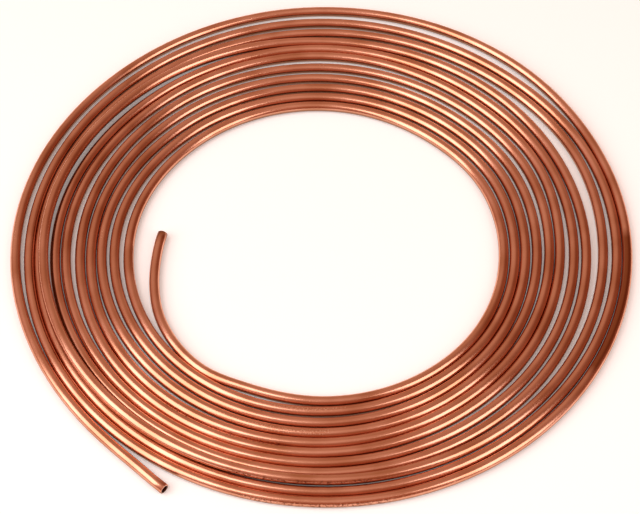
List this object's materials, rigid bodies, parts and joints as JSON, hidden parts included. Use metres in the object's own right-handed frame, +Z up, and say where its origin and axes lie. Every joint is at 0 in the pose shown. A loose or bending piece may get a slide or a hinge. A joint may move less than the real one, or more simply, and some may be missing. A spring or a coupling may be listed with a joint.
{
  "type": "soft copper tube",
  "caption": "Flat coil of bright soft copper tube wound in one loose layer, with both open ends standing free of the turns.",
  "frame": {"origin": "on the floor, under the middle of the outermost turn", "axes": "+Z up through the eye of the coil; the outer loose end leaves at the front left and the inner one ends at the left of the eye"},
  "size_m": [0.361, 0.361, 0.0117],
  "materials": {
    "soft_copper": "bright drawn copper, lightly tarnished"
  },
  "bodies": {
    "root": {"copper_tube": "soft_copper"}
  },
  "joints": []
}
